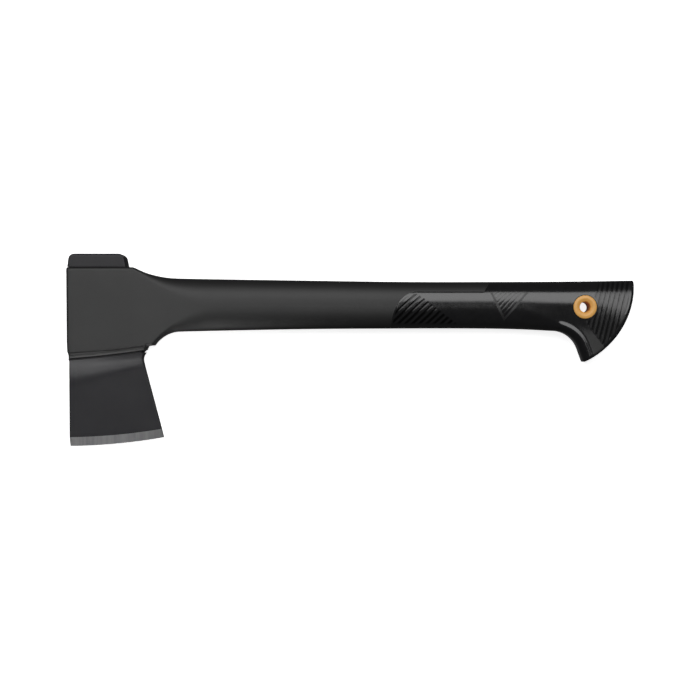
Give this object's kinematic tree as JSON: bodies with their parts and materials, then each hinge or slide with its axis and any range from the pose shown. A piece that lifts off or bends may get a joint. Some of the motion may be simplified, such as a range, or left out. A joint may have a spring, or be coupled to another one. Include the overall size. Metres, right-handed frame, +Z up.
{
  "type": "hatchet",
  "caption": "Hatchet: dark coated forged head held in a moulded nylon wrap and shaft, with a glossy ribbed grip, hooked butt and orange hang eyelet. For splitting kindling and light chopping.",
  "frame": {"origin": "on the surface it lies on, under the middle of its box", "axes": "+X along the handle from the head to the hooked butt; +Y towards the poll, so the cutting edge is on the -Y side; +Z up through the cheek, across the thickness"},
  "size_m": [0.36, 0.1224, 0.028],
  "materials": {
    "coated_steel": "dark low-friction coating on forged steel, satin; bare ground steel along the edge",
    "filled_nylon": "fine matte moulded texture",
    "gloss_grip": "smooth gloss with fields of fine ribs",
    "plug_nylon": "plain moulded, hidden",
    "orange_eyelet": "satin moulded orange"
  },
  "bodies": {
    "root": {"axe_head": "coated_steel", "handle_body": "filled_nylon", "grip_overmould": "gloss_grip", "butt_plug": "plug_nylon", "eyelet_front": "orange_eyelet", "eyelet_back": "orange_eyelet"}
  },
  "joints": []
}
